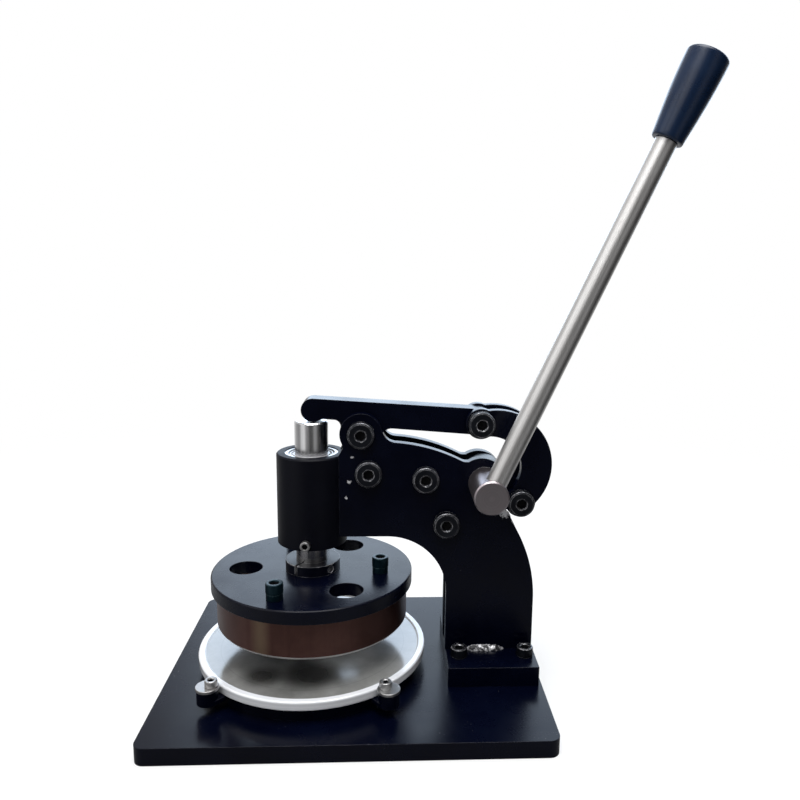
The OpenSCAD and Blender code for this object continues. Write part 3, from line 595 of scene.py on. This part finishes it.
# Boxes of a node's separate solids, in mm, sorted from left to right
def solidBoxes(node):
    bm = bmesh.new()
    bm.from_mesh(nodes[node].data)
    bmesh.ops.remove_doubles(bm, verts=bm.verts[:], dist=mergeWithin)
    left = set(bm.verts)
    boxes = []
    while left:
        stack = [left.pop()]
        island = []
        while stack:
            vert = stack.pop()
            island.append(vert.co / mm)
            for edge in vert.link_edges:
                other = edge.other_vert(vert)
                if other in left:
                    left.remove(other)
                    stack.append(other)
        low = Vector([min(c[k] for c in island) for k in range(3)])
        high = Vector([max(c[k] for c in island) for k in range(3)])
        boxes.append((low, high))
    bm.free()
    return sorted(boxes, key=lambda box: tuple(box[0]))


def facing(origin, axis, turn=0.0):
    look = Vector(axis).to_track_quat("Z", "Y").to_matrix().to_4x4()
    return Matrix.Translation(Vector(origin) * mm) @ look @ Matrix.Rotation(turn, 4, "Z")


# What all screws share, in mm: a thinner tip, an eased head, a flared socket with a drill's cone, and in
# radians how far each head is turned
screwDetail = {
    "tip": 0.3, "tipLength": 0.5, "threadFrom": 0.7, "under": 0.4, "ease": 0.1, "easeHeight": 0.2,
    "knurlFrom": 0.5, "knurlTo": 0.3, "round": (0.3, 0.45), "flare": 0.3, "flareDepth": (0.35, 0.7),
    "point": 0.3, "cone": 0.8, "turnFirst": 0.2, "turnStep": 0.7}


# Socket head screw: the origin is under its head, its axis points out of the head
def addScrew(bm, origin, axis, look, length, turn):
    detail = screwDetail
    bite = look["chamfer"]
    socket = look["socket"]
    head = look["head"] / 2
    height = look["headHeight"]
    shank = look["shank"] / 2
    depth = look["threadDepth"]
    tip = detail["tip"]
    ease = detail["ease"]
    thread = threadShape(shank, look["pitch"], depth)
    rings = [(shank - depth - tip, -length), (shank - tip, detail["tipLength"] - length)]
    z = detail["threadFrom"] - length
    while z < look["threadLength"] - length:
        rings.append((thread, z))
        z += look["pitch"] / 4
    rings += [(shank, z), (shank, 0), (head - detail["under"], 0), (head - ease, detail["easeHeight"])]
    side = knurlShape(head, look["knurls"], look["knurl"])
    inward, downTo = (share * bite for share in detail["round"])
    rings += [(side, detail["knurlFrom"]), (side, height - bite - detail["knurlTo"])]
    rings += [(head - ease, height - bite), (head - inward, height - downTo), (head - bite, height)]
    nearTop, below = (height - part for part in detail["flareDepth"])
    bottom = height - look["socketDepth"]
    rings += [(socket / 2 + look["lip"], height), (hexShape(socket + detail["flare"]), nearTop)]
    rings += [(hexShape(socket), below), (hexShape(socket), bottom)]
    rings.append((detail["point"], bottom - detail["cone"]))
    loft(bm, rings, facing(origin, axis, turn), inner=2)


# Screws of one node whose heads face along axis, measured from the node's own solids
def makeScrews(node, axis, look):
    direction = Vector(axis)
    which = max(range(3), key=lambda k: abs(direction[k]))
    bm = bmesh.new()
    for count, (low, high) in enumerate(solidBoxes(node)):
        outer = high if direction[which] > 0 else low
        origin = (low + high) / 2
        origin[which] = outer[which] - direction[which] * look["headHeight"]
        length = (high - low)[which] - look["headHeight"]
        turn = screwDetail["turnStep"] * count + screwDetail["turnFirst"]
        addScrew(bm, origin, axis, look, length, turn)
    addPiece(node + "_turned", bm, node, inside=socketInside)


toFront = (0, -1, 0)
toBack = (0, 1, 0)
upward = (0, 0, 1)
downward = (0, 0, -1)
crossLook = {
    "head": 16.2, "headHeight": 4.6, "shank": 10.0, "chamfer": 1.2, "socket": 5.4, "socketDepth": 3.6,
    "lip": 0.7, "pitch": 1.5, "threadDepth": 0.8, "threadLength": 20.0, "knurl": 0.25, "knurls": 36}
footLook = {
    "head": 10.0, "headHeight": 6.0, "shank": 6.0, "chamfer": 0.6, "socket": 5.0, "socketDepth": 3.0,
    "lip": 0.9, "pitch": 1.0, "threadDepth": 0.55, "threadLength": 12.0, "knurl": 0.2, "knurls": 36}
smallLook = {
    "head": 7.0, "headHeight": 4.0, "shank": 4.0, "chamfer": 0.4, "socket": 3.0, "socketDepth": 2.0,
    "lip": 0.6, "pitch": 0.7, "threadDepth": 0.4, "threadLength": 5.0, "knurl": 0.15, "knurls": 36}
makeScrews("frame_bolts", toFront, crossLook)
makeScrews("rocker_pivot_bolt", toFront, crossLook)
makeScrews("link_bolts", toFront, {**crossLook, "shank": 8.0, "threadDepth": 0.6, "pitch": 1.25})
makeScrews("hub_end_screw", toBack, footLook)
makeScrews("foot_screws", upward, footLook)
makeScrews("die_screws", upward, {**footLook, "chamfer": 0.45, "lip": 0.6})
makeScrews("mat_screws", upward, smallLook)
endLook = {**footLook, "head": 13.0, "headHeight": 5.0, "shank": 8.0, "socket": 6.0}
makeScrews("ram_end_screw", downward, endLook)


# Screw that keeps the ram from turning, a little round the barrel's front
def makeStopScrew(look):
    bm = bmesh.new()
    bearing = math.radians(look["bearing"])
    axis = Vector((math.sin(bearing), -math.cos(bearing), 0))
    origin = Vector((0, 0, look["height"])) + axis * look["seat"]
    addScrew(bm, origin, axis, look, look["length"], look["turn"])
    addPiece("stop_screw_turned", bm, "stop_screw", inside=socketInside)


makeStopScrew({
    "bearing": -5, "height": 94.0, "seat": 21.6, "length": 12.4, "turn": 0.4, "head": 6.0, "headHeight": 3.4,
    "shank": 3.0, "chamfer": 0.4, "socket": 2.9, "socketDepth": 2.2, "lip": 0.3, "pitch": 0.5,
    "threadDepth": 0.25, "threadLength": 6.0, "knurl": 0.12, "knurls": 36})


# Hexagon nuts with chamfered corners, on their washers where they have them
def makeNuts(node, look):
    bm = bmesh.new()
    washer = look["washer"]
    bore = look["bore"]
    rim = look["washerRadius"]
    ease = look["washerEdge"]
    lead = look["boreEdge"]
    bite = look["chamfer"]
    foot = washer + look["gap"]
    corner = look["across"] / 2 / math.cos(math.pi / 6)
    wide = nutShape(look["across"], corner)
    cut = nutShape(look["across"], corner - look["slope"] * bite)
    for count, (low, high) in enumerate(solidBoxes(node)):
        seat = (low + high) / 2
        seat.y = low.y
        top = (high - low).y
        place = facing(seat, toBack, look["turnStep"] * count)
        if washer:
            loft(bm, [(bore, 0), (rim - ease, 0), (rim, ease), (rim, washer - ease), (rim - ease, washer),
                      (bore, washer)], place, closed=True)
        loft(bm, [(bore, foot), (cut, foot), (wide, washer + bite), (wide, top - bite), (cut, top),
                  (bore + lead, top), (bore, top - lead)], place, closed=True)
    addPiece(node + "_turned", bm, node)


bigNut = {
    "across": 16.1, "chamfer": 0.6, "slope": 1.5, "bore": 5.05, "boreEdge": 0.5, "gap": 0.02,
    "washer": 1.6, "washerRadius": 9.8, "washerEdge": 0.3, "turnStep": 0.5}
makeNuts("frame_nuts", bigNut)
makeNuts("rocker_pivot_nut", bigNut)
makeNuts("link_nuts", {**bigNut, "across": 13.0, "bore": 4.05, "washer": 0})


# Grip: a turned handle that swells towards a slightly domed end with a round edge
def makeGrip(look):
    bm = bmesh.new()
    length = look["length"]
    body = length - look["dome"]
    bore = look["bore"]
    neck = look["neck"]
    big = look["big"]
    edge = look["edge"]
    steps = look["steps"]
    foot = look["foot"]
    lead = look["boreEdge"]
    ease = look["neckEdge"]
    rings = [(bore, look["boreDepth"]), (bore, lead), (bore + lead, 0.0), (neck - ease, 0.0),
             (neck - 0.3 * ease, 0.25 * ease), (neck, foot)]
    for i in range(1, steps + 1):
        swell = 1 - math.sin(math.pi / 2 * i / steps)
        rings.append((big - look["swell"] * swell, foot + (body - foot) * i / steps))
    for angle in range(10, 81, 10):
        a = math.radians(angle)
        rings.append((big - edge + edge * math.cos(a), body + edge * math.sin(a)))
    rim, low = rings[-1]
    for step in (5, 4, 3, 2, 1, 0.2):
        k = step / look["domeSteps"]
        rings.append((rim * k, low + (length - look["flat"] - low) * (1 - k ** 2)))
    start = Vector(hubAxis) + Vector((0, look["y"], 0)) + Vector(rodAxis) * look["from"]
    loft(bm, rings, facing(start, rodAxis), steps=96)
    addPiece("grip_turned", bm, "handle_grip", sharpAbove=50)


makeGrip({
    "from": 213.0, "length": 48.3, "y": -36.3, "neck": 8.7, "neckEdge": 1.0, "foot": 0.9, "swell": 3.0,
    "big": 11.7, "edge": 2.0, "dome": 2.8, "flat": 0.05, "bore": 5.0, "boreEdge": 0.5, "boreDepth": 22.0,
    "steps": 24, "domeSteps": 6})


# Joins rows of vertices into a closed body
def skin(bm, rows):
    for near, far in zip(rows, rows[1:]):
        for k in range(len(near)):
            j = (k + 1) % len(near)
            bm.faces.new((near[k], near[j], far[j], far[k]))
    bm.faces.new(rows[0])
    bm.faces.new(rows[-1])


# Weld beads: overlapping ripples laid along the foot of each plate
def makeWelds(look):
    bm = bmesh.new()
    for side in (-1, 1):
        rows = []
        for i in range(look["steps"] + 1):
            x = look["from"] + look["length"] * i / look["steps"]
            fade = min(1.0, 4 * min(i, look["steps"] - i) / look["steps"] + look["endShare"])
            shift = look["stagger"] * noise.noise(Vector((x * 0.4, side * 9.0, 0)))
            phase = (x / look["ripple"] + shift) % 1
            row = []
            for k in range(look["arc"] + 1):
                t = math.pi / 2 * k / look["arc"]
                wobble = look["wobble"] * noise.noise(Vector((x * 0.7, side * 3.0 + k * 0.35, 4.0)))
                rise = look["rise"] * (phase - 0.3 * math.sin(2 * t))
                r = look["radius"] * fade * (1 - look["rise"] + rise + wobble)
                y = side * (look["face"] + r * math.cos(t))
                row.append(bm.verts.new(Vector((x, y, look["floor"] + r * math.sin(t))) * mm))
            row.append(bm.verts.new(Vector((x, side * look["face"], look["floor"])) * mm))
            rows.append(row)
        skin(bm, rows)
    addPiece("welds", bm, "weld_beads", sharpAbove=60)


makeWelds({"steps": 60, "arc": 10, "from": 94.5, "length": 24.0, "radius": 3.2, "face": 12.35, "floor": 22.0,
           "ripple": 1.9, "rise": 0.14, "stagger": 0.15, "wobble": 0.06, "endShare": 0.25})


# Return spring inside the barrel: a wound coil filling its node's box, riding with that node's body
def makeSpring(look):
    low, high = solidBoxes("return_spring")[0]
    wire = look["wire"]
    radius = (high.x - low.x) / 2 - wire
    steps = look["turns"] * look["steps"]
    bm = bmesh.new()
    rows = []
    for i in range(steps + 1):
        turn = 2 * math.pi * i / look["steps"]
        z = low.z + wire + (high.z - low.z - 2 * wire) * i / steps
        row = []
        for k in range(look["sides"]):
            b = 2 * math.pi * k / look["sides"]
            r = radius + wire * math.cos(b)
            place = Vector((r * math.cos(turn), r * math.sin(turn), z + wire * math.sin(b)))
            row.append(bm.verts.new(place * mm))
        rows.append(row)
    skin(bm, rows)
    piece = addPiece("return_spring_wound", bm, "return_spring", sharpAbove=60)
    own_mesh(piece)


makeSpring({"turns": 6, "steps": 36, "sides": 10, "wire": 0.6, "stroke": 18.45})

# Nodes that keep their own solid, with its edges broken. The rest, inside or behind, stay as they are
bevels = {
    "base_plate": 0.8, "foot_block": 0.6, "frame_plate_front": 0.5, "frame_plate_rear": 0.5,
    "link_plate_front": 0.5, "link_plate_rear": 0.5, "rocker": 0.5, "crank": 0.5, "anvil": 0.4,
    "die_plate": 0.4, "die_ring": 0.25, "cutting_mat": 0.45, "barrel": 0.4, "barrel_lug": 0.4,
    "clamp_collar": 0.4, "ram": 0.25, "hub_shaft": 0.3, "handle_rod": 0.4, "frame_spacers": 0.2,
    "mat_washers": 0.3, "die_screw_sleeves": 0.2, "upper_bush": 0.2, "wiper_seal": 0.15,
    "bush_circlip": 0.1, "ram_circlip": 0.1, "hub_end_washer": 0.2, "ram_end_washer": 0.2,
    "spring_seat": 0.1, "spring_collar": 0.1, "lower_bush": 0.15, "collar_grub_screw": 0.15}
for name, width in bevels.items():
    dress(name, width)
print("pieces made")


# Studio: to the camera a pale floor that turns white further out and a white backdrop, to all else a dimmer
# floor and a room. The floor ends soon for reflections, so that turned metal shows the room's sides.
# Room lists how bright it is towards each bearing, in degrees from the front, positive to the right.
# A lamp is its name, place in m, size in m, power in W and colour
studioLook = {
    "size": 3.0, "floor": 0.88, "floorForOthers": 0.22, "nearShare": 0.6, "nearEnd": 0.2, "farEnd": 0.8,
    "glossNear": 0.16, "glossFar": 0.4, "behindLevel": 0.7, "behindReach": 0.55, "behindTilt": 0.6,
    "room": [(-180, 0.7), (-134, 0.7), (-112, 0.32), (-80, 0.32), (-63, 0.75), (-52, 1.0), (-42, 0.7),
             (-29, 0.3), (-12, 0.13), (0, 0.06), (12, 0.07), (25, 0.3), (32, 0.4), (40, 0.24), (50, 0.08),
             (60, 0.02), (95, 0.02), (118, 0.3), (135, 0.7), (180, 0.7)],
    "aim": (0.03, 0.0, 0.1),
    "lamps": [("sky", (0.55, 1.35, 0.72), (2.3, 1.1), 19.0, (0.62, 0.79, 1.0)),
              ("left", (-1.1, -0.3, 0.9), (0.7, 0.7), 1.6, (1.0, 1.0, 1.0)),
              ("front", (-0.6, -1.2, 1.1), (0.8, 0.8), 1.8, (1.0, 1.0, 1.0)),
              ("top", (0.05, -0.3, 1.45), (1.1, 1.1), 21.5, (1.0, 1.0, 1.0))]}


def makeFloor(look):
    size = look["size"]
    corners = [(-size, -size, 0), (size, -size, 0), (size, size, 0), (-size, size, 0)]
    data = bpy.data.meshes.new("floor")
    data.from_pydata(corners, [], [(0, 1, 2, 3)])
    floor = bpy.data.objects.new("floor", data)
    bpy.context.scene.collection.objects.link(floor)
    material, tree, shader = newMaterial("floorWhite")
    path = addNode(tree, "ShaderNodeLightPath")
    toCamera = path.outputs["Is Camera Ray"]
    shade = blendColor(tree, toCamera, (look["floorForOthers"],) * 3, (look["floor"],) * 3)
    tree.links.new(shade, shader.inputs["Base Color"])
    setPlain(shader, {"Roughness": 0.9, "Specular IOR Level": 0.0})
    place = addNode(tree, "ShaderNodeTexCoord").outputs["Object"]
    reach = vectorMath(tree, "LENGTH", {0: place}, "Value")
    fade = remap(tree, reach, look["nearShare"], 1.0, look["nearEnd"], look["farEnd"], "SMOOTHSTEP")
    gone = remap(tree, reach, 0.0, 1.0, look["glossNear"], look["glossFar"], "SMOOTHSTEP")
    white = addNode(tree, "ShaderNodeEmission", {"Color": (1, 1, 1, 1), "Strength": 1.0})
    clear = addNode(tree, "ShaderNodeBsdfTransparent")
    seen = addNode(tree, "ShaderNodeMixShader", {
        0: calc(tree, "MULTIPLY", fade, toCamera), 1: shader.outputs["BSDF"], 2: white.outputs["Emission"]})
    mirrored = addNode(tree, "ShaderNodeMixShader", {
        0: calc(tree, "MULTIPLY", gone, path.outputs["Is Glossy Ray"]), 1: seen.outputs["Shader"],
        2: clear.outputs["BSDF"]})
    output = next(n for n in tree.nodes if n.bl_idname == "ShaderNodeOutputMaterial")
    tree.links.new(mirrored.outputs["Shader"], output.inputs["Surface"])
    data.materials.append(material)


def makeWorld(look):
    world = bpy.data.worlds.new("studio")
    bpy.context.scene.world = world
    world.use_nodes = True
    tree = world.node_tree
    tree.nodes.clear()
    path = addNode(tree, "ShaderNodeLightPath")
    place = addNode(tree, "ShaderNodeTexCoord").outputs["Generated"]
    split = addNode(tree, "ShaderNodeSeparateXYZ", {"Vector": place})
    turn = calc(tree, "ARCTAN2", split.outputs["X"], calc(tree, "MULTIPLY", split.outputs["Y"], -1.0))
    ramp = addNode(tree, "ShaderNodeValToRGB", {"Fac": remap(tree, turn, 0.0, 1.0, -math.pi, math.pi)})
    stops = ramp.color_ramp.elements
    while len(stops) < len(look["room"]):
        stops.new(0.5)
    for stop, (bearing, level) in zip(stops, look["room"]):
        stop.position = (bearing + 180) / 360
        stop.color = (level, level, level, 1)
    shade = addNode(tree, "ShaderNodeSeparateXYZ", {"Vector": ramp.outputs["Color"]}).outputs["X"]
    tilt = calc(tree, "MULTIPLY", split.outputs["Z"], look["behindTilt"])
    backward = calc(tree, "ADD", split.outputs["Y"], tilt)
    behind = remap(tree, backward, 0.0, look["behindReach"], 0.0, look["behindLevel"], "SMOOTHSTEP")
    shade = calc(tree, "MAXIMUM", shade, behind)
    room = addNode(tree, "ShaderNodeBackground", {"Color": (1, 1, 1, 1), "Strength": shade})
    seen = addNode(tree, "ShaderNodeBackground", {"Color": (1, 1, 1, 1), "Strength": 1.0})
    mix = addNode(tree, "ShaderNodeMixShader", {
        0: path.outputs["Is Camera Ray"], 1: room.outputs[0], 2: seen.outputs[0]})
    out = tree.nodes.new("ShaderNodeOutputWorld")
    tree.links.new(mix.outputs[0], out.inputs["Surface"])


def makeLamps(look):
    for label, place, size, power, color in look["lamps"]:
        data = bpy.data.lights.new(label, "AREA")
        data.shape = "RECTANGLE"
        data.size, data.size_y = size
        data.energy = power
        data.color = color
        lamp = bpy.data.objects.new(label, data)
        bpy.context.scene.collection.objects.link(lamp)
        lamp.location = place
        lamp.rotation_euler = (Vector(place) - Vector(look["aim"])).to_track_quat("Z", "Y").to_euler()


makeFloor(studioLook)
makeWorld(studioLook)
makeLamps(studioLook)
bpy.context.scene.view_settings.view_transform = "Standard"
print("studio ready")
